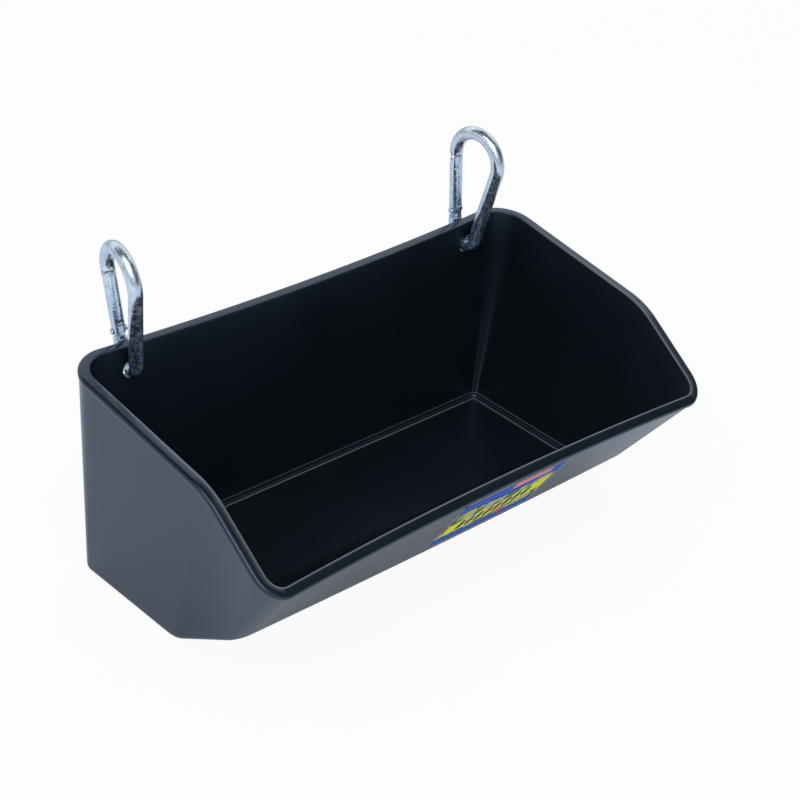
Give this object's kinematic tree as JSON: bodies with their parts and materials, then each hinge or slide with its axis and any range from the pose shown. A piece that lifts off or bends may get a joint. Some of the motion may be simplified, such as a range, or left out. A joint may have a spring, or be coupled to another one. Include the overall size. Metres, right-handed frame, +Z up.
{
  "type": "hook-on feeder",
  "caption": "Hook-on feeder: a scoop-shaped black moulded trough with a rolled rim, hung by pear-shaped spring snap hooks that go through holes in its back wall.",
  "frame": {"origin": "centre of the flat underside that the trough stands on", "axes": "+X along the trough, to the right as seen from the low lip; +Y from the lip to the back wall; +Z up"},
  "size_m": [0.4, 0.2276, 0.2407],
  "materials": {
    "trough": "satin black moulded plastic",
    "front_label": "printed film, glossy",
    "left_hook_body": "bright zinc-plated spring wire",
    "left_gate": "bright zinc-plated steel",
    "left_hinge_rivet": "bright zinc-plated steel",
    "left_latch_pin": "bright steel",
    "left_spring_plunger": "bright steel",
    "left_gate_spring": "bright spring steel",
    "right_hook_body": "bright zinc-plated spring wire",
    "right_gate": "bright zinc-plated steel",
    "right_hinge_rivet": "bright zinc-plated steel",
    "right_latch_pin": "bright steel",
    "right_spring_plunger": "bright steel",
    "right_gate_spring": "bright spring steel"
  },
  "bodies": {
    "trough": {"trough": "trough", "front_label": "front_label"},
    "left_hook": {"left_hook_body": "left_hook_body", "left_hinge_rivet": "left_hinge_rivet"},
    "left_gate": {"left_gate": "left_gate", "left_latch_pin": "left_latch_pin", "left_spring_plunger": "left_spring_plunger", "left_gate_spring": "left_gate_spring"},
    "right_hook": {"right_hook_body": "right_hook_body", "right_hinge_rivet": "right_hinge_rivet"},
    "right_gate": {"right_gate": "right_gate", "right_latch_pin": "right_latch_pin", "right_spring_plunger": "right_spring_plunger", "right_gate_spring": "right_gate_spring"}
  },
  "joints": [
    {"name": "left_hook_swing", "type": "hinge", "parent": "trough", "child": "left_hook", "pos_m": [-0.1506, 0.04706, 0.1468], "axis": [0.0571, 0.9984, 0], "range_deg": [-48, 54]},
    {"name": "right_hook_swing", "type": "hinge", "parent": "trough", "child": "right_hook", "pos_m": [0.1524, 0.04717, 0.1468], "axis": [-0.0658, 0.9978, 0], "range_deg": [-44, 42]},
    {"name": "left_gate_hinge", "type": "hinge", "parent": "left_hook", "child": "left_gate", "pos_m": [-0.1507, 0.05868, 0.16896], "axis": [0.9749, -0.1863, 0.1217], "range_deg": [0, 25], "stiffness_Nm_per_rad": 0.5, "springref_deg": -17.19},
    {"name": "right_gate_hinge", "type": "hinge", "parent": "right_hook", "child": "right_gate", "pos_m": [0.15194, 0.05752, 0.16957], "axis": [0.999, 0.0381, 0.0226], "range_deg": [0, 25], "stiffness_Nm_per_rad": 0.5, "springref_deg": -17.19}
  ]
}
